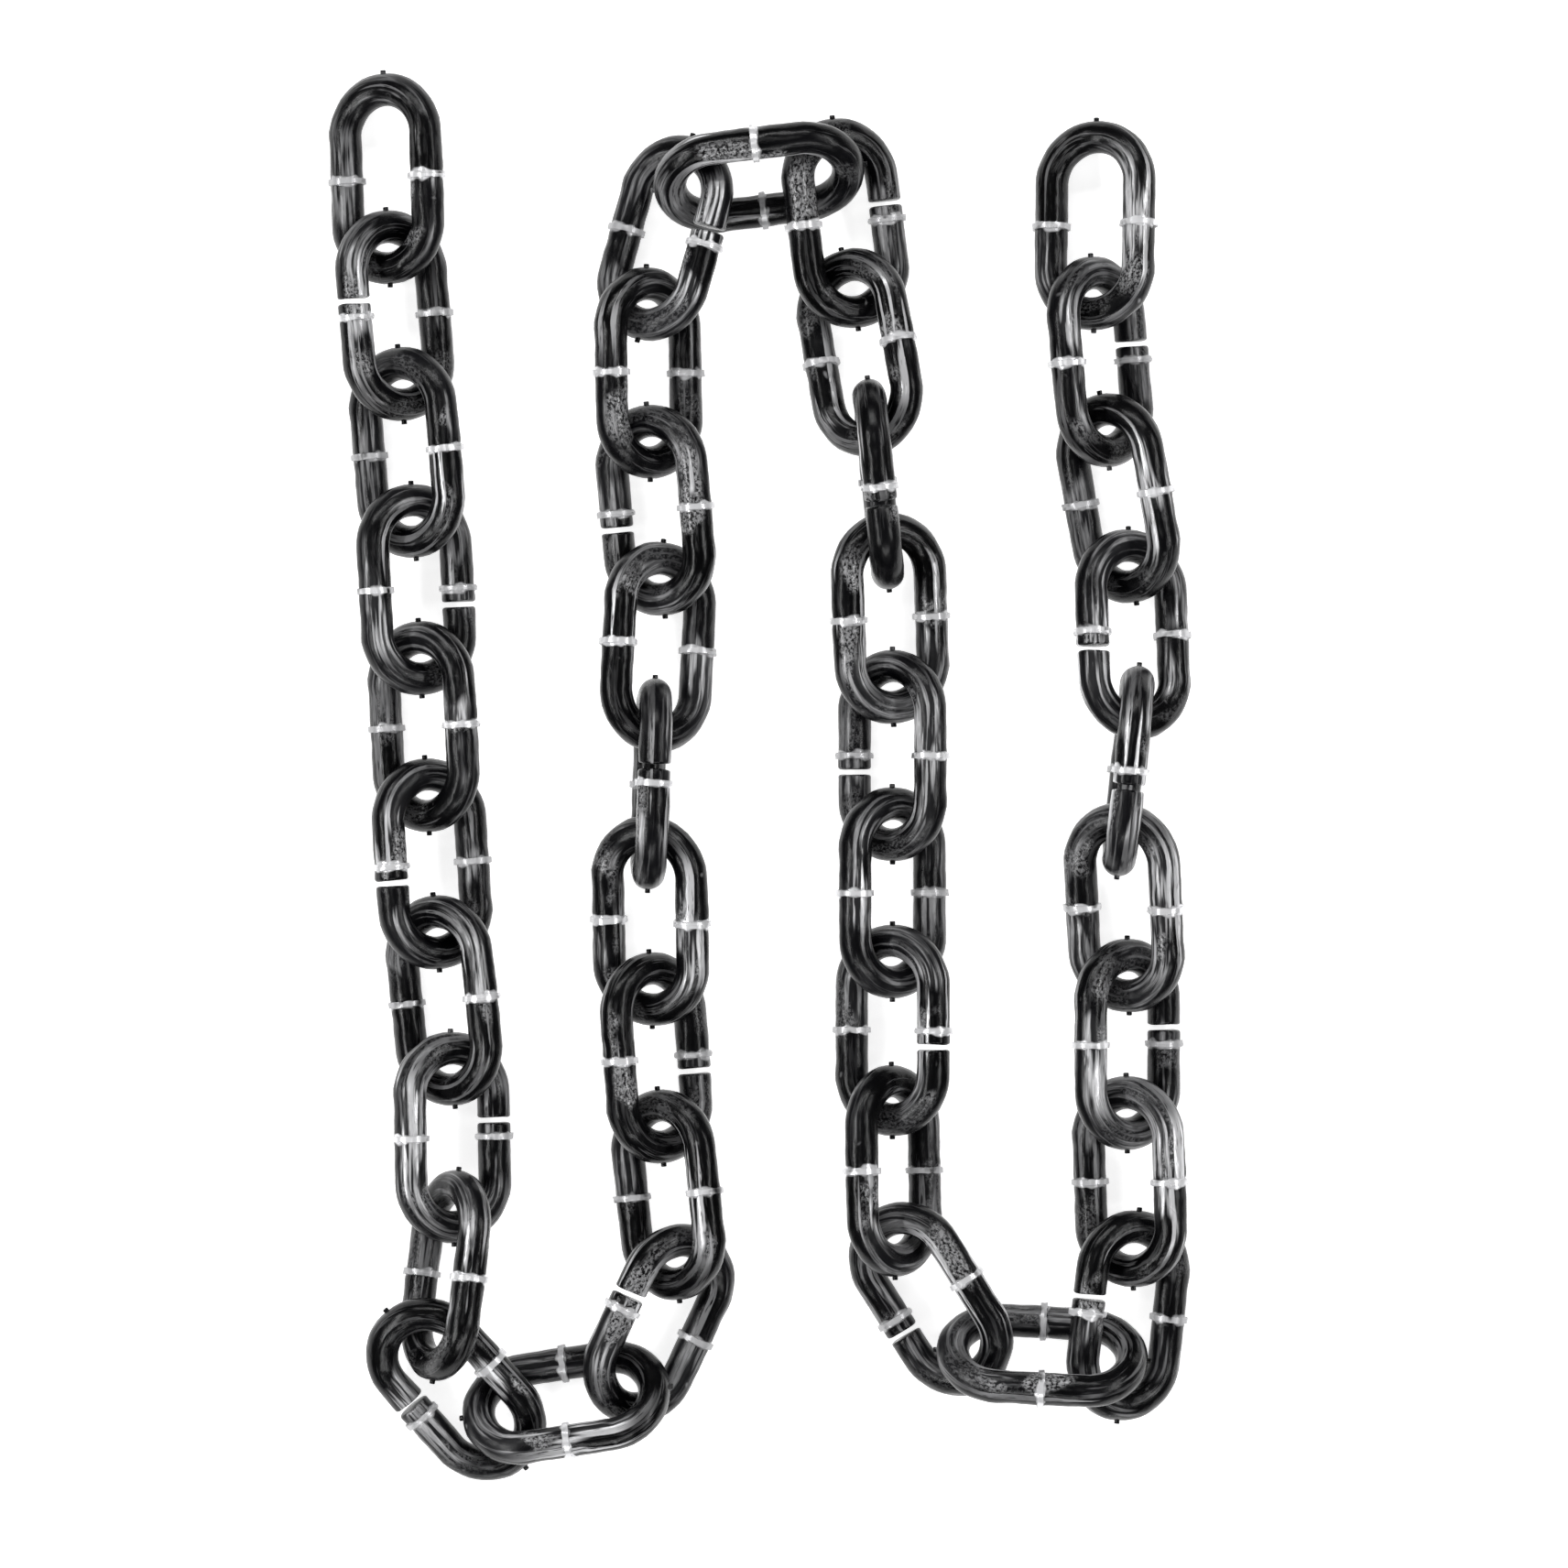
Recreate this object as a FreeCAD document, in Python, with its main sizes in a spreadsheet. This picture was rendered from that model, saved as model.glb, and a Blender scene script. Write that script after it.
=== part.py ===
import FreeCAD, Part
import math
import os
from collections import namedtuple

import Sketcher
from FreeCAD import Placement, Rotation, Vector

# A length of moulded link chain, lying in a serpentine of four runs.
# Every link is one oval ring of round wire with a seam ring round each leg
# and a small gate pip on each bow. Half of the links are closed; the others
# have a slit through one leg, by which they were snapped onto their
# neighbours. Millimetres, +Z up, floor at Z = 0.

# ---------------------------------------------------------------- sizes
SIZES = (
    ("wire_diameter", 11.0, "round section of the link"),
    ("inside_width", 20.0, "clear width inside the link"),
    ("inside_length", 49.0, "clear length inside the link"),
    ("ring_width", 1.6, "seam ring, along the leg"),
    ("ring_height", 1.2, "seam ring, proud of the wire"),
    ("pip_diameter", 2.0, "gate pip on the crown of each bow"),
    ("pip_height", 1.2, "gate pip, proud of the wire"),
    ("slit_width", 2.0, "gap sawn through one leg of a split link"),
    ("slit_offset", 5.5, "middle of the slit from the link's middle"),
    ("slit_chamfer", 0.7, "broken edge on both sides of the slit"),
    ("hook_play", 3.0, "how far two hooked links of 11 mm wire slide before they pull"),
)

doc = FreeCAD.newDocument("link_chain")
sheet = doc.addObject("Spreadsheet::Sheet", "Sizes")
for row, (alias, value, meaning) in enumerate(SIZES, start=1):
    sheet.set(f"A{row}", meaning)
    sheet.set(f"B{row}", str(value))
    sheet.setAlias(f"B{row}", alias)
doc.recompute()

wire_radius = sheet.wire_diameter / 2
bow_radius = (sheet.inside_width + sheet.wire_diameter) / 2
straight = sheet.inside_length - sheet.inside_width
crown = straight / 2 + bow_radius
grown = sheet.wire_diameter / 11.0  # play and turns are given for 11 mm wire
hook_overlap = sheet.wire_diameter + sheet.hook_play * grown
pitch = 2 * crown - hook_overlap

# the same lengths as the sheet works them out
WIRE_RADIUS = "Sizes.wire_diameter / 2"
BOW_RADIUS = "(Sizes.inside_width + Sizes.wire_diameter) / 2"
STRAIGHT = "Sizes.inside_length - Sizes.inside_width"
CROWN = "(Sizes.inside_length + Sizes.wire_diameter) / 2"
RING_RADIUS = "Sizes.wire_diameter / 2 + Sizes.ring_height"

# ---------------------------------------------------------------- posture
# One row for each link, from the first end of the chain to the last.
# heading: degrees from +X, anticlockwise, of the way the chain runs.
# roll: degrees about the heading; positive lifts the leg on the left hand.
# slit: which leg is slit, and towards which end, seen along the heading.
Link = namedtuple("Link", "kind heading roll slit", defaults=(None,))
CHAIN = (
    # first run, away from the first end
    Link("closed", -88, 28),
    Link("split", -85, -34, "right rear"),
    Link("closed", -85, 33),
    Link("split", -87, -29, "left front"),
    Link("closed", -87, 34),
    Link("split", -86, -30, "right front"),
    Link("closed", -84, 34),
    Link("split", -89, -28, "left rear"),
    # first turn
    Link("closed", -97, 58),
    Link("split", -49, 17, "right rear"),
    Link("closed", 9, -38),
    Link("split", 65, 31, "left front"),
    # second run
    Link("closed", 96, -38),
    Link("split", 94, 38, "right rear"),
    Link("closed", 91, -25),
    Link("split", 88, -86, "right front"),
    Link("closed", 87, 32),
    Link("split", 95, -30, "left rear"),
    Link("closed", 91, 38),
    # second turn
    Link("split", 75, -30, "right front"),
    Link("closed", 7, 47),
    Link("split", -83, -25, "left rear"),
    # third run
    Link("closed", -80, 31),
    Link("split", -84, 90, "left front"),
    Link("closed", -88, -26),
    Link("split", -90, 36, "right front"),
    Link("closed", -90, -36),
    Link("split", -90, 29, "left front"),
    # third turn
    Link("closed", -89, -47),
    Link("split", -58, 27, "right front"),
    Link("closed", -3, -48),
    Link("split", 84, 27, "left front"),
    # fourth run, to the last end
    Link("closed", 92, -33),
    Link("split", 90, 36, "right front"),
    Link("closed", 93, -28),
    Link("split", 84, -90, "right rear"),
    Link("split", 92, 29, "left rear"),
    Link("closed", 100, -38),
    Link("split", 95, 43, "right front"),
    Link("closed", 89, -22),
)

# In a run, two neighbours meet at the height of the higher one and pull
# along the middle of their headings. In a turn one link rides up on the
# next and hooks its side, so each hook there has its own heights and pull.
# before, after: how far the end of the link before the hook, and of the
# link after it, lies above where it would lie on the floor.
# overlap: added to hook_overlap. pull: degrees from +X.
Hook = namedtuple("Hook", "before after overlap pull")
TURN_HOOKS = {
    8: Hook(2, -1, 0, -92),
    9: Hook(2, 7, 3, -108),
    10: Hook(0, -2, 3, 18),
    11: Hook(3, 0, 2, 45),
    12: Hook(0, 1, 1, 95),
    16: Hook(-1, 5, 0, 87),
    20: Hook(-1, 0, 3, 18),
    21: Hook(1, 0, 4, -11),
    22: Hook(1, -1, 2, -88),
    23: Hook(7, 2, 1, -82),
    24: Hook(-2, 5, 1, -83),
    28: Hook(2, -1, -1, -90),
    29: Hook(1, 1, 0, -74),
    30: Hook(0, 1, 1, -20),
    31: Hook(2, 0, 4, -3),
    32: Hook(1, 0, 1, 92),
}


def resting_height(roll):
    """Height of a link's middle when it lies on its seam rings at this roll."""
    return wire_radius + sheet.ring_height + bow_radius * abs(math.sin(math.radians(roll)))


def mean_heading(first, second):
    """The direction half way between two headings, in degrees."""
    turn = (second - first + 180) % 360 - 180
    return first + turn / 2


def hook(number):
    """Heights of both link ends, overlap and pull at the hook after a link."""
    first, second = CHAIN[number - 1], CHAIN[number]
    low, high = resting_height(first.roll), resting_height(second.roll)
    if number in TURN_HOOKS:
        before, after, overlap, pull = TURN_HOOKS[number]
        return low + before * grown, high + after * grown, hook_overlap + overlap * grown, pull
    level = max(low, high)
    return level, level, hook_overlap, mean_heading(first.heading, second.heading)


def link_axes(link, rise):
    """Unit vectors along a link, across its legs and square to both."""
    slope = math.asin(rise / pitch)
    heading = math.radians(link.heading)
    along = Vector(
        math.cos(heading) * math.cos(slope),
        math.sin(heading) * math.cos(slope),
        math.sin(slope),
    )
    level_left = Vector(-math.sin(heading), math.cos(heading), 0)
    across = Rotation(along, link.roll).multVec(level_left)
    return along, across, along.cross(across)


def lay_chain():
    """A Placement for each link, with the first link's middle over the origin."""
    places = []
    bow = None
    for number, link in enumerate(CHAIN, start=1):
        rest = resting_height(link.roll)
        rear = hook(number - 1)[1] if number > 1 else rest
        front, _, overlap, pull = hook(number) if number < len(CHAIN) else (rest, rest, 0, 0)
        along, across, square = link_axes(link, front - rear)
        reach = along * (straight / 2)
        middle = bow + reach if bow else Vector()
        middle.z = (rear + front) / 2
        places.append(Placement(middle, Rotation(along, across, square, "XYZ")))
        apart = 2 * bow_radius - overlap
        toward = Vector(math.cos(math.radians(pull)), math.sin(math.radians(pull)), 0)
        bow = middle + reach + toward * apart
    return places


# ---------------------------------------------------------------- link pieces
def origin_plane(body, role):
    """A body's own origin plane, by its role."""
    return next(f for f in body.Origin.OriginFeatures if f.Role == role)


def new_sketch(body, name, role, offset=None):
    """A sketch on one of the body's origin planes, lifted by an expression."""
    sketch = body.newObject("Sketcher::SketchObject", name)
    sketch.AttachmentSupport = [(origin_plane(body, role), "")]
    sketch.MapMode = "FlatFace"
    if offset:
        sketch.setExpression("AttachmentOffset.Base.z", offset)
    return sketch


def bind(sketch, constraint, name, expression):
    """Add a constraint, name it and drive it from the sheet."""
    index = sketch.addConstraint(constraint)
    sketch.renameConstraint(index, name)
    sketch.setExpression(f"Constraints.{name}", expression)


def add_circle(sketch, name, side, distance, radius):
    """A circle on the sketch's horizontal axis, at a bound distance to one side."""
    start = Vector(side * bow_radius, 0, 0)
    circle = sketch.addGeometry(Part.Circle(start, Vector(0, 0, 1), wire_radius))
    centre, origin = (circle, 3), (-1, 1)
    bind(sketch, Sketcher.Constraint("Radius", circle, wire_radius), f"{name}_radius", radius)
    if side:
        sketch.addConstraint(Sketcher.Constraint("PointOnObject", *centre, -1))
        ends = origin + centre if side > 0 else centre + origin
        reach = Sketcher.Constraint("DistanceX", *ends, bow_radius)
        bind(sketch, reach, f"{name}_distance", distance)
    else:
        sketch.addConstraint(Sketcher.Constraint("Coincident", *centre, *origin))


def add_bow(body, name):
    """The front half ring, turned about the upright axis of the bow."""
    section = new_sketch(body, f"{name}_bow_section", "YZ_Plane", f"({STRAIGHT}) / 2")
    add_circle(section, "wire", 1, BOW_RADIUS, WIRE_RADIUS)
    bow = body.newObject("PartDesign::Revolution", f"{name}_bow")
    bow.Profile = section
    bow.ReferenceAxis = (section, ["V_Axis"])
    bow.Angle = 180
    bow.Reversed = True
    section.Visibility = False
    return bow


def add_pad(body, name, sketch, length, midplane=True):
    """A pad of a sketch with a bound length."""
    pad = body.newObject("PartDesign::Pad", name)
    pad.Profile = sketch
    pad.Midplane = midplane
    pad.setExpression("Length", length)
    return pad


def add_leg_pair(body, name, radius, length):
    """Round pads on both legs, about the link's middle."""
    sketch = new_sketch(body, f"{name}_section", "YZ_Plane")
    add_circle(sketch, "left", 1, BOW_RADIUS, radius)
    add_circle(sketch, "right", -1, BOW_RADIUS, radius)
    return add_pad(body, name, sketch, length)


def add_pip(body, name):
    """The gate pip, from the middle of the front crown outwards."""
    sketch = new_sketch(body, f"{name}_pip_section", "YZ_Plane", CROWN)
    add_circle(sketch, "pip", 0, None, "Sizes.pip_diameter / 2")
    length = "Sizes.wire_diameter / 2 + Sizes.pip_height"
    return add_pad(body, f"{name}_pip", sketch, length, midplane=False)


def mirror_ends(body, name, features):
    """Repeat the front bow and pip at the rear."""
    doc.recompute()
    mirrored = body.newObject("PartDesign::Mirrored", f"{name}_ends")
    mirrored.Originals = features
    mirrored.MirrorPlane = (origin_plane(body, "YZ_Plane"), [""])
    body.Tip = mirrored
    doc.recompute()
    return mirrored


def add_slit(body, name, leg, end):
    """A saw cut through one leg, beside its seam ring."""
    sketch = new_sketch(body, f"{name}_slit_outline", "XY_Plane")
    x_mid, y_mid = end * sheet.slit_offset, leg * bow_radius
    corners = [
        Vector(x_mid + dx * sheet.slit_width / 2, y_mid + dy * sheet.wire_diameter, 0)
        for dx, dy in ((-1, -1), (1, -1), (1, 1), (-1, 1))
    ]
    for start, finish in zip(corners, corners[1:] + corners[:1]):
        sketch.addGeometry(Part.LineSegment(start, finish))
    for side in range(4):
        sketch.addConstraint(Sketcher.Constraint("Coincident", side, 2, (side + 1) % 4, 1))
        way = "Vertical" if side % 2 else "Horizontal"
        sketch.addConstraint(Sketcher.Constraint(way, side))
    width = Sketcher.Constraint("DistanceX", 0, 1, 0, 2, sheet.slit_width)
    bind(sketch, width, "width", "Sizes.slit_width")
    height = Sketcher.Constraint("DistanceY", 1, 1, 1, 2, 2 * sheet.wire_diameter)
    bind(sketch, height, "height", "2 * Sizes.wire_diameter")
    place_x = Sketcher.Constraint("DistanceX", -1, 1, 0, 1, corners[0].x)
    bind(sketch, place_x, "place_x", f"{end} * Sizes.slit_offset - Sizes.slit_width / 2")
    place_y = Sketcher.Constraint("DistanceY", -1, 1, 0, 1, corners[0].y)
    bind(sketch, place_y, "place_y", f"{leg} * {BOW_RADIUS} - Sizes.wire_diameter")
    slit = body.newObject("PartDesign::Pocket", f"{name}_slit")
    slit.Profile = sketch
    slit.Midplane = True
    slit.setExpression("Length", "2 * Sizes.wire_diameter")
    doc.recompute()
    return slit


def break_slit_edges(body, name, slit, leg, end):
    """A small chamfer round both faces of the slit."""
    rims = []
    for index, edge in enumerate(slit.Shape.Edges, start=1):
        middle = edge.BoundBox.Center
        beside = abs(abs(middle.x - end * sheet.slit_offset) - sheet.slit_width / 2) < 1e-4
        if beside and middle.y * leg > 0 and edge.BoundBox.XLength < 1e-4:
            rims.append(f"Edge{index}")
    chamfer = body.newObject("PartDesign::Chamfer", f"{name}_slit_edges")
    chamfer.Base = (slit, rims)
    chamfer.setExpression("Size", "Sizes.slit_chamfer")
    body.Tip = chamfer


def make_link(number, link):
    """One link as a body of its own, about the origin and along X."""
    name = f"{link.kind}_link_{number:02d}"
    body = doc.addObject("PartDesign::Body", name)
    body.Label = name
    bow = add_bow(body, name)
    add_leg_pair(body, f"{name}_legs", WIRE_RADIUS, STRAIGHT)
    pip = add_pip(body, name)
    add_leg_pair(body, f"{name}_seam_rings", RING_RADIUS, "Sizes.ring_width")
    mirror_ends(body, name, [bow, pip])
    if link.slit:
        side, place = link.slit.split()
        leg = 1 if side == "left" else -1
        end = 1 if place == "front" else -1
        whole = body.Tip
        slit = add_slit(body, name, leg, end)
        if slit.Shape.Volume > whole.Shape.Volume - 1:
            raise RuntimeError(f"{name}: the slit cuts nothing")
        break_slit_edges(body, name, slit, leg, end)
    return body


# ---------------------------------------------------------------- build
places = lay_chain()
bodies = [make_link(number, link) for number, link in enumerate(CHAIN, start=1)]
doc.recompute()
for body, place in zip(bodies, places):
    body.Placement = place
doc.recompute()

# the origin goes to the middle of the floor under the chain
whole = FreeCAD.BoundBox()
for body in bodies:
    whole.add(body.Shape.optimalBoundingBox(False))
base = Vector(whole.Center.x, whole.Center.y, whole.ZMin)
for body in bodies:
    body.Placement.Base = body.Placement.Base - base
doc.recompute()

for item in doc.Objects:
    if {"Invalid", "Error"} & set(item.State):
        raise RuntimeError(f"{item.Label}: {item.State}")
for body in bodies:
    shape = body.Shape
    if shape.isNull() or not shape.isValid() or len(shape.Solids) != 1:
        raise RuntimeError(f"{body.Label}: not one valid solid")

os.makedirs("parts", exist_ok=True)
for body in bodies:
    body.Shape.exportStep(f"parts/{body.Label}.step")
box = (whole.XLength, whole.YLength, whole.ZLength)
print(len(bodies), "links, box", " x ".join(f"{side:.1f}" for side in box), "mm")
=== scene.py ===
# %% [markdown]
# # A length of decorative chain
# The object is forty moulded oval links, laid on a floor in four runs with three turns.
# Black plastic, brushed over with silver paint so that it passes for old iron.
# About every second link is slit through one leg, which is how the chain is snapped together.
# We load the measured frame first, because every link's place is read from it.

import math

import bmesh
import bpy
import numpy as np
from mathutils import Matrix, Vector


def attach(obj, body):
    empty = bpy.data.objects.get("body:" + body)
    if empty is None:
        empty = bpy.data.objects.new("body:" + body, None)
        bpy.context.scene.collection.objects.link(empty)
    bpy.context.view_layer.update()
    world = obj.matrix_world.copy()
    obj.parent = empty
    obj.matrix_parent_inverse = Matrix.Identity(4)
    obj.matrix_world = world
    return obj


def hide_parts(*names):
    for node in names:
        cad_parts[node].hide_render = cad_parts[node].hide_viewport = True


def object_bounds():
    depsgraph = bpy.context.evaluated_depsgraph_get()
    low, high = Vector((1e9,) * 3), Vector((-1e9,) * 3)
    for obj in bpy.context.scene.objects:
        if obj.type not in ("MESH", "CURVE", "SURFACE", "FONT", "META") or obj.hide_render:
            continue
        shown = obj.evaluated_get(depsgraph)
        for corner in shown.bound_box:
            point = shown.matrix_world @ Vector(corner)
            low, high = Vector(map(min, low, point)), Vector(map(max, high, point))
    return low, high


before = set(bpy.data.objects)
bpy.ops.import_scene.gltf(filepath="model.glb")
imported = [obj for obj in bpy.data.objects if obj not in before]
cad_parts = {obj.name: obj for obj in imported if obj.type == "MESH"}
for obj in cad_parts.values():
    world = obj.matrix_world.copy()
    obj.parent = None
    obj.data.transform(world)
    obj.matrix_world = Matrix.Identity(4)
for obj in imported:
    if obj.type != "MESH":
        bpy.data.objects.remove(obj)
cad_low, cad_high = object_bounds()
nodes = sorted(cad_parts, key=lambda name: int(name.split("_")[-1]))
print("links in the frame:", len(nodes))

# %% [markdown]
# ## Camera
# The chain is seen from straight above, as it lies on a table. A long lens far away keeps
# the runs parallel. The view is a little taller than the chain and aimed just to the right
# of its middle, and the camera's height follows from the lens and from that view.

# %% Camera over the chain
VIEW_HEIGHT = 0.524                      # metres of floor that the view takes in
LENS, SENSOR = 200.0, 36.0               # millimetres
AIM_RIGHT, AIM_BACK = 0.0083, 0.0028     # metres from the chain's middle to the view's
camera_data = bpy.data.cameras.new("camera")
camera_data.lens, camera_data.sensor_width = LENS, SENSOR
camera = bpy.data.objects.new("camera", camera_data)
bpy.context.collection.objects.link(camera)
bpy.context.scene.camera = camera
middle = (cad_low + cad_high) / 2
camera_height = VIEW_HEIGHT * LENS / SENSOR
camera.location = (middle.x + AIM_RIGHT, middle.y - AIM_BACK, middle.z + camera_height)
camera_data.clip_end = camera_height * 4
print("camera height above the chain: %.2f m" % camera_height)

# %% [markdown]
# ## Where each link lies
# A link is known from a few marks on its frame solid. A small gate pip stands at the crown
# of each bow, so the two points that lie furthest apart give the link's length and middle.
# The legs lie to both sides of that line, so the wider spread across it is the link's width.
# On a slit link, the flat faces of the slit say which leg is cut, and on which side.

# %% Read a link's middle and directions from its solid
WIRE = 0.0055                            # radius of the wire, metres
TIP_DEPTH = 0.0002                       # points this near the furthest one belong to a pip's top
CAP_NEAR, CAP_FAR = 0.003, 0.009         # how far from the seam a slit's flat faces can be


def column(items, key, width):
    """One property of every vertex or face, as an array with a row for each."""
    values = np.zeros(len(items) * width)
    items.foreach_get(key, values)
    return values.reshape(-1, width)


def link_place(name):
    """A link's place as a matrix, its length over the pips, and where its slit is."""
    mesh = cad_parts[name].data
    points = column(mesh.vertices, "co", 3)
    middle = points.mean(0)
    length = np.linalg.svd(points - middle, full_matrices=False)[2][0]
    for attempt in range(4):             # the pips stand furthest out, once the middle is right
        reach = np.linalg.norm(points - middle, axis=1)
        ahead = (points - middle) @ length > 0
        tips = [points[side & (reach > reach[side].max() - TIP_DEPTH)].mean(0)
                for side in (ahead, ~ahead)]
        middle = (tips[0] + tips[1]) / 2
        length = (tips[0] - tips[1]) / np.linalg.norm(tips[0] - tips[1])
    centres = column(mesh.polygons, "center", 3) - middle
    normals = column(mesh.polygons, "normal", 3)
    areas = column(mesh.polygons, "area", 1)
    across = centres - np.outer(centres @ length, length)
    spread = (across * areas).T @ across
    width = np.linalg.eigh(spread)[1][:, -1]
    width = width - (width @ length) * length
    width /= np.linalg.norm(width)
    cut = 0.0
    if name.startswith("split"):
        where = abs(centres @ length)
        caps = (abs(normals @ length) > 0.99) & (where > CAP_NEAR) & (where < CAP_FAR)
        centre = (centres * areas)[caps].sum(0) / areas[caps].sum()
        cut = abs(centre @ length)
        length = length * np.sign(centre @ length)
        width = width * -np.sign(centre @ width)     # the slit leg is the one on the minus side
    normal = np.cross(length, width)
    if cut == 0.0 and normal[2] < 0:
        width, normal = -width, -normal
    turn = Matrix((length, width, normal)).transposed()
    place = Matrix.Translation(Vector(middle)) @ turn.to_4x4()
    return place, np.linalg.norm(tips[0] - tips[1]), cut


places = {name: link_place(name) for name in nodes}
lengths = [place[1] for place in places.values()]
cuts = [place[2] for place in places.values() if place[2]]
print("link length over the pips: %.2f to %.2f mm" % (min(lengths) * 1000, max(lengths) * 1000))
print("slit links: %d, slit %.2f mm from the seam" % (len(cuts), 1000 * sum(cuts) / len(cuts)))

# %% [markdown]
# ## A link's wire
# The real wire is round, 11 mm thick, bent into an oval with straight legs. One way to make
# it is a curve with a bevel, but then the seam rings and the slit would have no edges of
# their own. So a circle is added at one leg's mould seam, and it is extruded along the leg,
# spun round the bow, and so on, back to the seam. Every ring of edges is then square to the
# wire, so that one row of faces can become a seam ring later and another can be the slit.

# %% Sizes of one link
LEG = 0.0145                             # from the seam to the start of a bow
BOW = 0.0155                             # bend radius of a bow, at the middle of the wire
RING_WIDE, RING_HIGH = 0.0022, 0.0012    # the seam ring round each leg
RING_LIFT = 0.72                         # share of the height that is pulled out
RING_NARROWS = 0.8                       # the crest's width, as a share of the ring's
RING_RAGGED = 0.00028                    # how far the crest is jogged, which adds the rest
SLIT_AT = sum(cuts) / len(cuts)
SLIT_WIDE, SLIT_EDGE = 0.0020, 0.0007
PIP_RADIUS, PIP_HIGH, PIP_SUNK = 0.0010, 0.0012, 0.0008
PIP_EDGE, PIP_SHORT = 0.0003, 0.0001     # bevel of a pip, and how much of its height is left out
BOW_STEPS = 26                           # faces round a bow, about 1.9 mm long on its middle line


def start_clean():
    """Leaves object mode with nothing selected, so that the next operator acts on its own piece."""
    if bpy.context.object and bpy.context.object.mode != "OBJECT":
        bpy.ops.object.mode_set(mode="OBJECT")
    bpy.ops.object.select_all(action="DESELECT")


def pick(test, kind="VERT"):
    """Selects the vertices or faces of the mesh in edit mode that the test is true for."""
    bpy.ops.mesh.select_mode(type=kind)
    bpy.ops.mesh.select_all(action="DESELECT")
    work = bmesh.from_edit_mesh(bpy.context.object.data)
    for item in work.verts if kind == "VERT" else work.faces:
        item.select_set(bool(test(item)))
    work.select_flush_mode()
    bmesh.update_edit_mesh(bpy.context.object.data)


# %% Extrude and spin the wire
def extrude_to(stations):
    """Extrudes the open ring of edges that is selected, to each place along X in turn."""
    here = stations[0]
    for there in stations[1:]:
        bpy.ops.mesh.extrude_region_move(TRANSFORM_OT_translate={"value": (there - here, 0, 0)})
        here = there


def even(a, b, step=0.0017):
    """Places from a to b in even steps, about as long as the steps round a bow."""
    count = max(1, round(abs(b - a) / step))
    return [a + (b - a) * i / count for i in range(count + 1)]


def bend_wire(name, cut):
    """A link's bare wire: a circle, extruded along a leg and spun round a bow, twice."""
    start_clean()
    half = RING_WIDE / 2
    bpy.ops.mesh.primitive_circle_add(vertices=32, radius=WIRE, location=(0, -BOW, 0),
                                      rotation=(0, math.pi / 2, 0))
    link = bpy.context.object
    link.name = name
    bpy.ops.object.transform_apply(location=True, rotation=True, scale=True)
    bpy.ops.object.mode_set(mode="EDIT")
    bpy.ops.mesh.select_all(action="SELECT")
    near, far = SLIT_AT - SLIT_WIDE / 2, SLIT_AT + SLIT_WIDE / 2
    if cut:                              # rows of edges exactly where the slit is
        extrude_to([0, half] + even(half, near)[1:] + [far] + even(far, LEG)[1:])
    else:
        extrude_to([0, half] + even(half, LEG)[1:])
    bpy.ops.mesh.spin(steps=BOW_STEPS, angle=-math.pi, center=(LEG, 0, 0), axis=(0, 0, 1))
    extrude_to(even(LEG, half) + [-half] + even(-half, -LEG)[1:])
    bpy.ops.mesh.spin(steps=BOW_STEPS, angle=-math.pi, center=(-LEG, 0, 0), axis=(0, 0, 1))
    extrude_to(even(-LEG, -half) + [0])
    bpy.ops.mesh.select_all(action="SELECT")
    bpy.ops.mesh.remove_doubles(threshold=0.00005)
    bpy.ops.mesh.normals_make_consistent(inside=False)
    bpy.ops.object.mode_set(mode="OBJECT")
    return link


closed_link = bend_wire("closed_link", cut=False)
split_link = bend_wire("split_link", cut=True)
print("faces in the bare wire:", len(closed_link.data.polygons), len(split_link.data.polygons))

# %% [markdown]
# ## The slit
# The slit is about 2 mm wide, so that the plastic can be sprung open over the next link. The
# ring of faces there is deleted, both open ends are filled, and their rims are bevelled,
# because a moulded edge is never quite sharp and catches paint.

# %% Open the slit


def cut_slit(link):
    """Takes out the ring of faces at the slit and closes both ends with a bevelled cap."""
    start_clean()
    bpy.context.view_layer.objects.active = link
    link.select_set(True)
    near, far = SLIT_AT - SLIT_WIDE / 2, SLIT_AT + SLIT_WIDE / 2
    bpy.ops.object.mode_set(mode="EDIT")
    pick(lambda f: near < f.calc_center_median().x < far and f.calc_center_median().y < 0, "FACE")
    bpy.ops.mesh.delete(type="FACE")
    for end in (near, far):
        pick(lambda v: abs(v.co.x - end) < 1e-5 and v.co.y < 0)
        bpy.ops.mesh.edge_face_add()
        bpy.ops.mesh.bevel(offset=SLIT_EDGE, segments=3, affect="EDGES", profile=0.5,
                           clamp_overlap=True)
    bpy.ops.mesh.select_all(action="SELECT")
    bpy.ops.mesh.normals_make_consistent(inside=False)
    bpy.ops.object.mode_set(mode="OBJECT")


cut_slit(split_link)
print("faces after the slit:", len(split_link.data.polygons))

# %% [markdown]
# ## Seam rings
# Where the two halves of the mould meet, a thin ridge of plastic runs round each leg. It is
# left on, a little ragged, and the silver brush always finds it. The two rows of faces at
# the middle of each leg are pulled out along their normals, and their outer edge is jogged.

# %% Raise the seam rings


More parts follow.
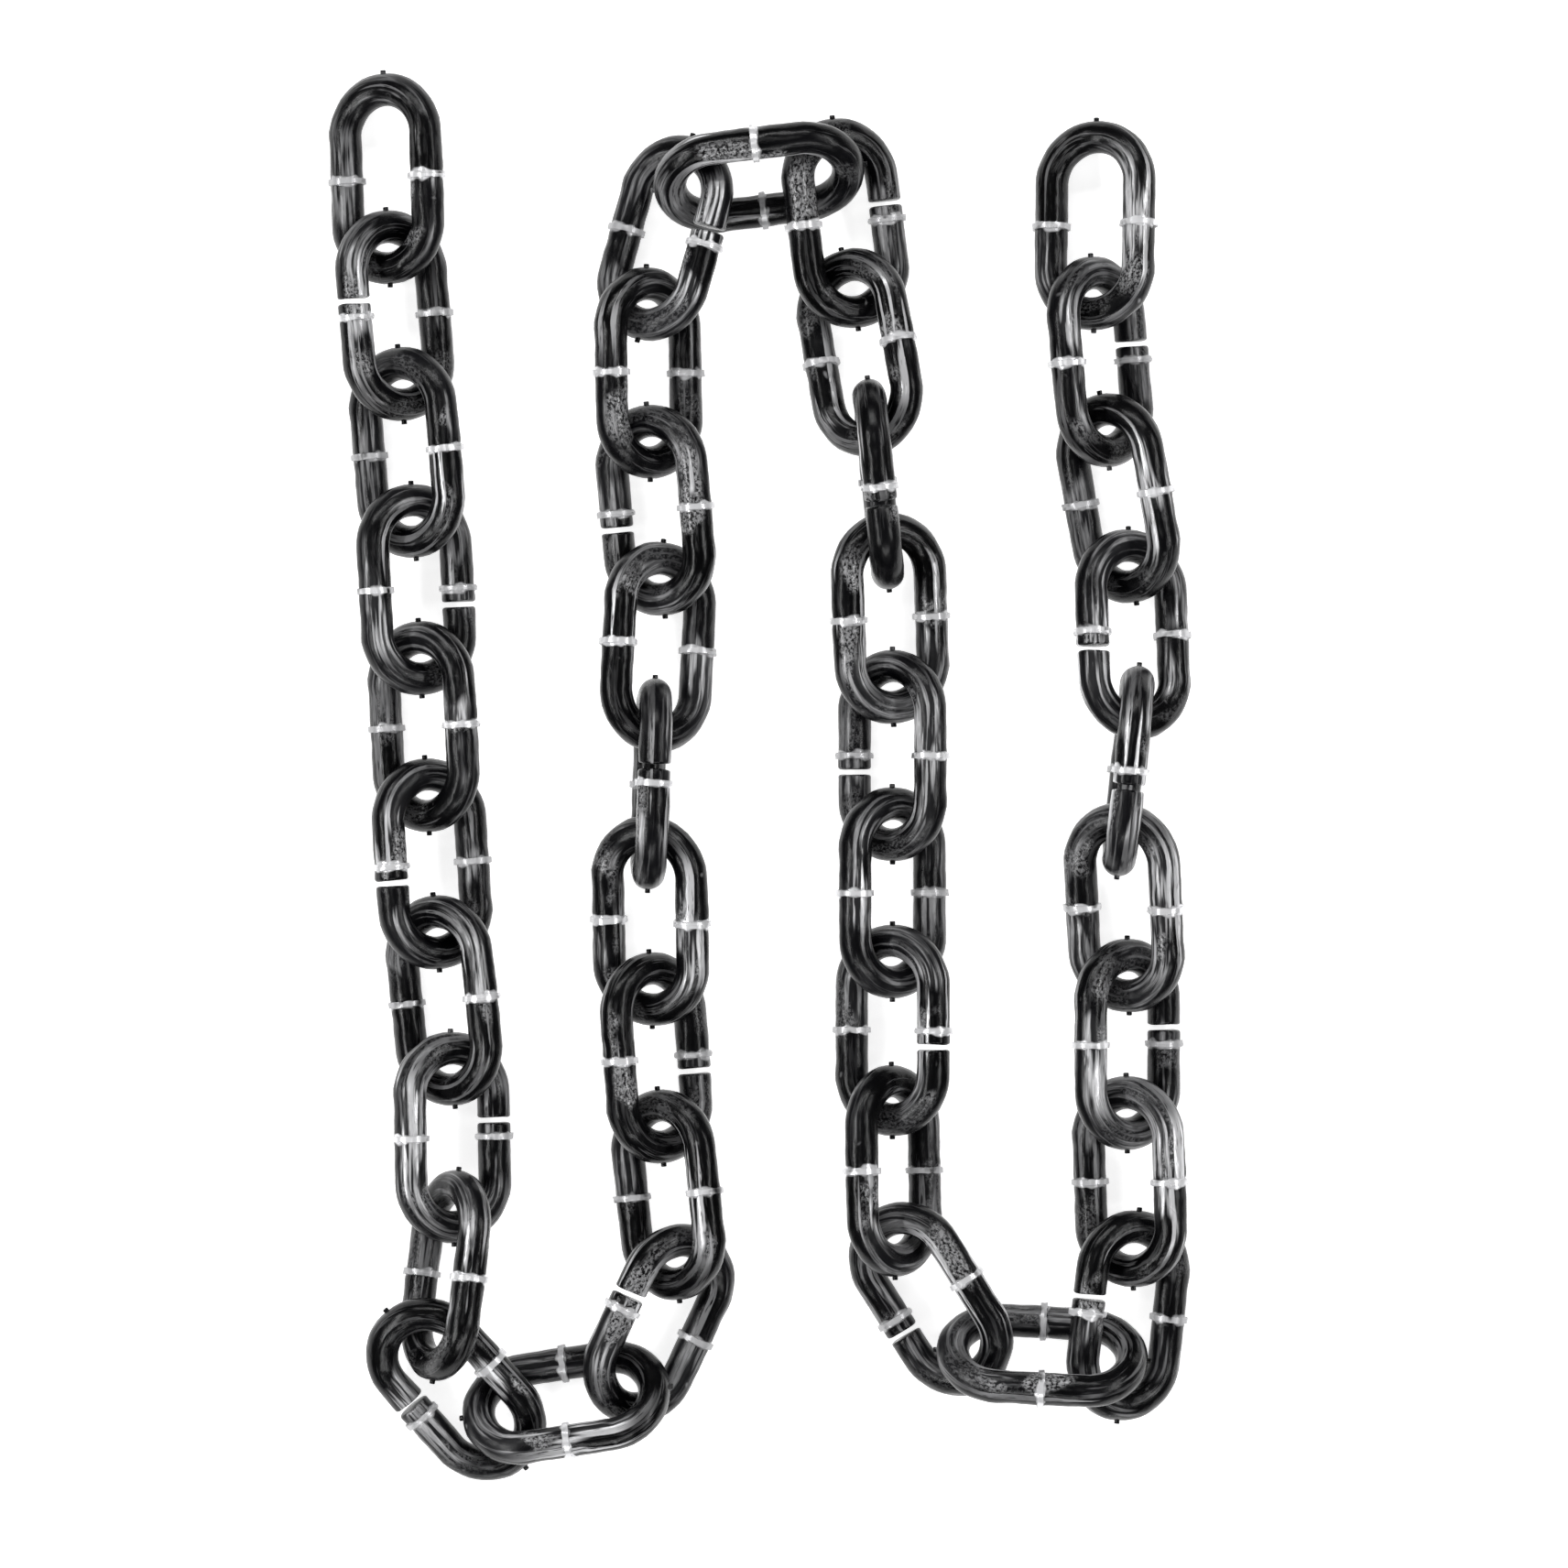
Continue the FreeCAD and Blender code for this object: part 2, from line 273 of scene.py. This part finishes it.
def raise_rings(link, seed):
    """Pulls the seam's faces outwards, narrows the crest and jogs it."""
    start_clean()
    bpy.context.view_layer.objects.active = link
    link.select_set(True)
    bpy.ops.object.mode_set(mode="EDIT")
    pick(lambda f: abs(f.calc_center_median().x) < RING_WIDE / 2, "FACE")
    lift = {"value": RING_HIGH * RING_LIFT}
    bpy.ops.mesh.extrude_region_shrink_fatten(TRANSFORM_OT_shrink_fatten=lift)
    reach = WIRE + RING_HIGH * 0.5

    def on_crest(v):
        side = BOW if v.co.y > 0 else -BOW
        return abs(v.co.x) < RING_WIDE and math.hypot(v.co.y - side, v.co.z) > reach

    pick(lambda v: on_crest(v) and abs(v.co.x) > 0.0001)
    bpy.ops.transform.resize(value=(RING_NARROWS, 1, 1), center_override=(0, 0, 0))
    pick(on_crest)
    bpy.ops.transform.vertex_random(offset=RING_RAGGED, uniform=0.1, normal=0.0, seed=seed)
    bpy.ops.object.mode_set(mode="OBJECT")


raise_rings(closed_link, 5)
raise_rings(split_link, 8)
ring_tops = [max(v.co.y for v in link.data.vertices) * 1000 for link in (closed_link, split_link)]
print("widest points of the rings: %.2f and %.2f mm" % tuple(ring_tops))

# %% [markdown]
# ## Gate pips
# A pip at the crown of each bow is the stub where the plastic ran into the mould. It is a
# short peg: a cylinder, sunk a little into the wire, whose broken-off top is bevelled.

# %% Add a pip to each bow


def add_pips(link):
    """Joins a bevelled stub to the crown of each bow."""
    crown = LEG + BOW + WIRE
    pips = []
    for side in (1, -1):
        start_clean()
        low, high = crown - PIP_SUNK, crown + PIP_HIGH - PIP_SHORT
        bpy.ops.mesh.primitive_cylinder_add(vertices=12, radius=PIP_RADIUS, depth=high - low,
                                            location=(side * (low + high) / 2, 0, 0),
                                            rotation=(0, side * math.pi / 2, 0))
        pip = bpy.context.object
        bpy.ops.object.transform_apply(location=True, rotation=True, scale=True)
        bpy.ops.object.mode_set(mode="EDIT")
        pick(lambda v: abs(v.co.x) > high - 1e-5)
        bpy.ops.mesh.bevel(offset=PIP_EDGE, segments=2, affect="EDGES")
        bpy.ops.object.mode_set(mode="OBJECT")
        pips.append(pip)
    start_clean()
    for piece in pips + [link]:
        piece.select_set(True)
    bpy.context.view_layer.objects.active = link
    bpy.ops.object.join()


add_pips(closed_link)
add_pips(split_link)
print("closed link length: %.2f mm" % (closed_link.dimensions.x * 1000))

# %% [markdown]
# ## A moulded, slightly uneven skin
# The link imitates cast iron, so the wire isn't perfectly round: shallow dents and
# swellings, a few tenths of a millimetre deep and 8 mm across, break up the highlights.
# Bump alone would leave the outline too clean. A Displace modifier with a clouds texture
# moves the mesh itself, and it is applied.

# %% Make the wire uneven


def roughen(link, depth, size):
    """Dents the surface by up to half of depth each way, in clouds of that size."""
    start_clean()
    bpy.context.view_layer.objects.active = link
    link.select_set(True)
    clouds = bpy.data.textures.new("cast dents", "CLOUDS")
    clouds.noise_scale, clouds.noise_depth = size, 1
    dents = link.modifiers.new("cast dents", "DISPLACE")
    dents.texture, dents.strength, dents.mid_level = clouds, depth, 0.5
    dents.texture_coords = "LOCAL"
    bpy.ops.object.modifier_apply(modifier=dents.name)
    bpy.ops.object.shade_smooth_by_angle(angle=math.radians(38))
    link.data.validate()


DENT_DEPTH, DENT_SIZE = -0.0007, 0.0075
roughen(closed_link, DENT_DEPTH, DENT_SIZE)
roughen(split_link, DENT_DEPTH, DENT_SIZE)
sides = tuple(1000 * d for d in closed_link.dimensions)
print("link after the dents: %.2f x %.2f x %.2f mm" % sides)

# %% [markdown]
# ## Coordinates that follow the wire
# The brush strokes run along the wire, round the bows too, so their pattern needs to know
# how far along the wire a point is and where it is round the wire. Both are worked out from
# a point's place and kept as an attribute of the mesh. The count starts and ends under a
# seam ring, where a break in the pattern can't be seen.

# %% Store the way along and round the wire
LOOP = 4 * LEG + 2 * math.pi * BOW       # once round the link, along the middle of the wire
CREST = 0.0012                           # half the width in which a raised point is on the ring
SMEAR_START, SMEAR = 0.0006, 0.0022      # where the paint beside a ring begins to fade, and how far


def along_and_round(x, y, z):
    """Distance along the wire from the first seam, then the place across it: outwards and up."""
    if abs(x) <= LEG:
        s = x if y < 0 else 2 * LEG + math.pi * BOW - x
        out = abs(y) - BOW
    else:
        side = 1 if x > 0 else -1
        out = math.hypot(x - side * LEG, y) - BOW
        angle = math.atan2(x * side - LEG, -y * side)
        s = LEG + angle * BOW if side > 0 else 3 * LEG + math.pi * BOW + angle * BOW
    return s % LOOP, out, z


def near_seam(x, out, up):
    """1 on the crest of a seam ring, less beside it, and 0 from 2.8 mm away on."""
    raised = (math.hypot(out, up) - WIRE) / RING_HIGH
    beside = 0.9 * max(0.0, 1 - max(0.0, abs(x) - SMEAR_START) / SMEAR)
    return min(1.0, max(beside, 1.9 * raised - 0.2 if abs(x) < CREST else 0.0))


def store_wire(mesh):
    """Keeps three attributes: wire (along, outwards, up), bend (0 legs, 1 crown) and seam."""
    flow = mesh.attributes.new("wire", "FLOAT_VECTOR", "CORNER")
    bend = mesh.attributes.new("bend", "FLOAT", "POINT")
    seam = mesh.attributes.new("seam", "FLOAT", "POINT")
    for face in mesh.polygons:
        base = along_and_round(*face.center)[0]
        for corner in face.loop_indices:
            vertex = mesh.loops[corner].vertex_index
            x, y, z = mesh.vertices[vertex].co
            s, out, up = along_and_round(x, y, z)
            s += LOOP * round((base - s) / LOOP)
            flow.data[corner].vector = (s, out, up)
            seam.data[vertex].value = near_seam(x, out, up)
            bend.data[vertex].value = max(0.0, (abs(x) - LEG) / BOW)


for master in (closed_link, split_link):
    store_wire(master.data)
print("once round the wire: %.1f mm" % (LOOP * 1000))

# %% [markdown]
# ## The finish: black plastic, dry-brushed with silver
# The links are moulded in black polyethylene with a satin gloss. Silver paint is then dragged
# over them with an almost dry brush, so it stays on what stands proud: long strokes, rubbed
# patches that look speckled, and the seam rings. One material does it all: a black base, and
# a mask that says where there is paint. The strokes are noise that is stretched along the
# wire. The patches are wide noise that lets strokes or specks through. A painted image would
# need a UV map on every link, and noise needs none.

# %% Colours and a helper for nodes


def colour(text):
    """A hex colour, as seen on a screen, turned to the linear numbers that a shader needs."""
    parts = [int(text[i:i + 2], 16) / 255 for i in (1, 3, 5)]
    linear = [p / 12.92 if p <= 0.04045 else ((p + 0.055) / 1.055) ** 2.4 for p in parts]
    return tuple(linear) + (1.0,)


def node(tree, kind, settings=None, links=None):
    """Adds a node, sets its properties and its sockets' values, and links its inputs."""
    made = tree.nodes.new(kind)
    for key, value in (settings or {}).items():
        if isinstance(key, int):
            made.inputs[key].default_value = value
        else:
            setattr(made, key, value)
    for socket, source in (links or {}).items():
        tree.links.new(source, made.inputs[socket])
    return made


def ramp(tree, source, low, high):
    """0 below low, 1 above high, and a smooth rise between them."""
    settings = {"interpolation_type": "SMOOTHSTEP", 1: low, 2: high}
    return node(tree, "ShaderNodeMapRange", settings, {0: source}).outputs[0]


# %% The plastic's material
plastic = bpy.data.materials.new("dry-brushed black polyethylene")
plastic.use_nodes = True
tree = plastic.node_tree
shader = tree.nodes["Principled BSDF"]
wire = node(tree, "ShaderNodeAttribute", {"attribute_name": "wire"}).outputs["Vector"]
seam = node(tree, "ShaderNodeAttribute", {"attribute_name": "seam"}).outputs["Fac"]
bend = node(tree, "ShaderNodeAttribute", {"attribute_name": "bend"}).outputs["Fac"]
across_wire = node(tree, "ShaderNodeSeparateXYZ", {}, {0: wire}).outputs[2]


def math_node(operation, a, b=0.0):
    """One arithmetic step, on two sockets or on a socket and a number."""
    made = node(tree, "ShaderNodeMath", {"operation": operation})
    for socket, value in ((0, a), (1, b)):
        if isinstance(value, float):
            made.inputs[socket].default_value = value
        else:
            tree.links.new(value, made.inputs[socket])
    return made.outputs[0]


def noise(size, stretch=1.0, detail=2.0, rough=0.55, shift=0.0):
    """Noise whose grains are size metres across the wire and size / stretch along it."""
    at = node(tree, "ShaderNodeMapping", {1: (shift, shift, shift), 3: (stretch, 1, 1)}, {0: wire})
    grains = {2: 1 / size, 3: detail, 4: rough}
    return node(tree, "ShaderNodeTexNoise", grains, {0: at.outputs[0]}).outputs[0]


# %% Patterns of the brush
# Real bristles are finer than 0.6 mm, but marks as fine as theirs wouldn't show at this size.
strokes = noise(0.0017, 0.07)                    # 1.7 mm wide and some 25 mm long
bristles = noise(0.0006, 0.08, shift=0.3)
broad = noise(0.0030, 0.045, 1.0, shift=5.1)     # bold strokes of a loaded brush, 3 mm wide
touched = noise(0.017, 0.5, 1.0, shift=0.7)      # where the brush went: patches 35 mm long
rubbed = noise(0.016, 0.8, 1.0, shift=1.3)       # where the paint is worn to specks
specks = noise(0.0009, 0.8, 3.0, 0.7)            # specks of about 0.9 mm
blots = noise(0.005, 1.0, 1.0, shift=2.1)        # how much paint a ring has kept
heavy = noise(0.10, 1.0, 1.0, shift=3.3)         # some links got a full brush, others an empty one

# %% Where the brush went, and painted shade on low legs
# It rides on the flat of the link. There is less paint towards the crowns, where the links hang
# inside each other. Legs that lie low are darkened as painted shade, by thinning the paint with
# their height off the floor. Some links also got a fuller brush.
face_on = ramp(tree, math_node("ABSOLUTE", across_wire), 0.0016, 0.0042)
inside = math_node("MULTIPLY", ramp(tree, bend, 0.10, 0.75), 0.75)
reach_and_low_shade = math_node("SUBTRACT", 1.0, inside)
position = node(tree, "ShaderNodeTexCoord").outputs["Object"]
off_floor = node(tree, "ShaderNodeSeparateXYZ", {}, {0: position}).outputs[2]
lit_by_height = ramp(tree, off_floor, 0.010, 0.021)   # 0 up to 10 mm off the floor, 1 from 21 mm on
# Painted shade: the paint is thinned on legs that lie low, which darkens them.
low_leg_shade = math_node("ADD", math_node("MULTIPLY", lit_by_height, 0.8), 0.2)
reach_and_low_shade = math_node("MULTIPLY", reach_and_low_shade, low_leg_shade)
fuller = math_node("MULTIPLY", math_node("SUBTRACT", heavy, 0.5), 0.35)
load = math_node("ADD", touched, fuller)
face_reach_and_shade = math_node("MULTIPLY", face_on, reach_and_low_shade)
brushed = math_node("MULTIPLY", face_reach_and_shade, ramp(tree, load, 0.49, 0.57))

# %% Where there is paint
# The film is the streaky thin layer of a brushed patch, worn is a patch rubbed to specks, lines
# are single strokes, with a few more on the bows as a painted highlight, bold is the broad
# strokes, and ring is what the seam rings have caught.
streaky = math_node("MULTIPLY", ramp(tree, strokes, 0.46, 0.60), 0.66)
film = math_node("MULTIPLY", brushed, math_node("ADD", streaky, 0.02))
worn = math_node("MULTIPLY", face_reach_and_shade, ramp(tree, rubbed, 0.54, 0.62))
worn = math_node("MULTIPLY", worn, ramp(tree, specks, 0.40, 0.62))
lines = math_node("MULTIPLY", ramp(tree, strokes, 0.56, 0.61), ramp(tree, bristles, 0.36, 0.52))
# A few strokes fall outside the patches, more of them on the bows: partly stray paint, partly a
# painted highlight along the bows.
stray_and_bow_highlight = math_node("ADD", math_node("MULTIPLY", bend, 0.06), 0.02)
lines = math_node("MULTIPLY", lines, math_node("ADD", math_node("MULTIPLY", brushed, 0.93), stray_and_bow_highlight))
bold = math_node("MULTIPLY", ramp(tree, broad, 0.585, 0.635), ramp(tree, bristles, 0.30, 0.46))
bold = math_node("MULTIPLY", bold, math_node("MULTIPLY", reach_and_low_shade, ramp(tree, heavy, 0.36, 0.56)))
lines = math_node("MAXIMUM", lines, math_node("MULTIPLY", bold, 0.85))
caught = math_node("ADD", math_node("MULTIPLY", seam, 0.68), math_node("MULTIPLY", blots, 1.2))
ring = ramp(tree, caught, 0.88, 1.18)
# Painted shade: the rings on low legs are dimmed as well.
ring = math_node("MULTIPLY", ring, math_node("ADD", math_node("MULTIPLY", lit_by_height, 0.5), 0.5))
rubbed_on = math_node("MAXIMUM", film, math_node("MULTIPLY", worn, 0.42))
paint = math_node("MAXIMUM", rubbed_on, math_node("MAXIMUM", lines, ring))

# %% Colour, gloss and relief
# Polyethylene's IOR is about 1.5. The paint is flakes in a binder, so it is only partly metal.
blacks = {"data_type": "RGBA", 6: colour("#030304"), 7: colour("#0c0c10")}
haze = node(tree, "ShaderNodeMix", blacks, {0: ramp(tree, touched, 0.30, 0.75)}).outputs[2]
silver = {"data_type": "RGBA", 7: colour("#f0f0f2")}
skin = node(tree, "ShaderNodeMix", silver, {0: paint, 6: haze}).outputs[2]
tree.links.new(skin, shader.inputs["Base Color"])
rougher = {1: 0.3, 2: 0.7, 3: 0.20, 4: 0.32}     # 0.20 on bare plastic, 0.32 where it was brushed
tree.links.new(node(tree, "ShaderNodeMapRange", rougher, {0: touched}).outputs[0],
               shader.inputs["Roughness"])
tree.links.new(math_node("MULTIPLY", paint, 0.35), shader.inputs["Metallic"])
shader.inputs["IOR"].default_value = 1.5
shader.inputs["Specular IOR Level"].default_value = 0.24
relief = node(tree, "ShaderNodeBump", {0: 0.4, 1: 0.0010}, {"Height": noise(0.0050, 0.55)})
grain = node(tree, "ShaderNodeBump", {0: 0.3, 1: 0.0002},
             {"Height": specks, "Normal": relief.outputs[0]})
tree.links.new(grain.outputs[0], shader.inputs["Normal"])
print("nodes in the plastic:", len(tree.nodes))

# %% [markdown]
# ## Copying the two links
# Each of the forty links gets its own copy of the mesh, put in its place and left with its
# object at the origin. The pattern's start is moved along for each one, so that no two
# links are brushed alike. A link rides on the body of its own name and stands for its solid.

# %% Lay the forty links
PATTERN_STEP = 0.37                      # metres that the pattern moves along from link to link
for number, name in enumerate(nodes):
    place = places[name][0]
    master = split_link if name.startswith("split") else closed_link
    mesh = master.data.copy()
    flow = column(mesh.attributes["wire"].data, "vector", 3)
    flow[:, 0] += PATTERN_STEP * number
    mesh.attributes["wire"].data.foreach_set("vector", flow.ravel())
    mesh.transform(place)
    mesh.materials.clear()
    mesh.materials.append(plastic)
    link = bpy.data.objects.new(name.replace("link", "chain_link"), mesh)
    bpy.context.collection.objects.link(link)
    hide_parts(name)
    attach(link, name)
for master in (closed_link, split_link):
    bpy.data.objects.remove(master)
print("links laid:", len(nodes))

# %% [markdown]
# ## Floor and light
# A plain white floor that glows, as paper on a light table does, which fills in the shadows.
# Four long strip lights stand round the chain, 44 degrees up, so that each round wire shows a
# soft bright line along its sides and stays dark between them. One weak softbox nearly
# overhead keeps the tops from going quite black.

# %% Floor
start_clean()
bpy.ops.mesh.primitive_plane_add(size=6, location=(middle.x, middle.y, 0))
floor = bpy.context.object
floor.name = "floor"
paper = bpy.data.materials.new("white paper")
paper.use_nodes = True
sheet = paper.node_tree.nodes["Principled BSDF"]
sheet.inputs["Base Color"].default_value = colour("#f4f4f4")
sheet.inputs["Roughness"].default_value = 0.9
sheet.inputs["Emission Color"].default_value = colour("#ffffff")
sheet.inputs["Emission Strength"].default_value = 0.8
fibres = node(paper.node_tree, "ShaderNodeTexNoise", {2: 900.0})       # about 1 mm apart
nap = node(paper.node_tree, "ShaderNodeBump", {0: 0.05, 1: 0.0001}, {"Height": fibres.outputs[0]})
paper.node_tree.links.new(nap.outputs[0], sheet.inputs["Normal"])
floor.data.materials.append(paper)

# %% Lights


def softbox(name, azimuth, elevation, distance, size, power):
    """An area light that looks at the chain's middle. Angles in degrees, power in watts."""
    light = bpy.data.lights.new(name, "AREA")
    light.shape, light.size, light.size_y, light.energy = "RECTANGLE", size[0], size[1], power
    box = bpy.data.objects.new(name, light)
    bpy.context.collection.objects.link(box)
    a, e = math.radians(azimuth), math.radians(elevation)
    away = Vector((math.cos(a) * math.cos(e), math.sin(a) * math.cos(e), math.sin(e)))
    box.location = middle + away * distance
    box.rotation_euler = (-away).to_track_quat("-Z", "Y").to_euler()
    return box


STRIP_ELEVATION, STRIP_DISTANCE, STRIP_SIZE = 44, 1.6, (1.3, 0.13)     # degrees, metres, metres
for side, azimuth, power in (("right", 8, 8), ("far", 98, 8), ("left", 188, 12), ("near", 278, 7)):
    softbox("strip light " + side, azimuth, STRIP_ELEVATION, STRIP_DISTANCE, STRIP_SIZE, power)
softbox("softbox above", azimuth=130, elevation=80, distance=2.0, size=(0.4, 0.4), power=1.5)
world = bpy.data.worlds.new("studio")
bpy.context.scene.world = world
world.use_nodes = True
world.node_tree.nodes["Background"].inputs["Color"].default_value = colour("#ffffff")
world.node_tree.nodes["Background"].inputs["Strength"].default_value = 0.06
bpy.context.scene.view_settings.view_transform = "Standard"

# %% Print the frame's box and finish
bpy.context.view_layer.update()
print("cad box    %s" % [round(1000 * (b - a), 1) for a, b in zip(cad_low, cad_high)])
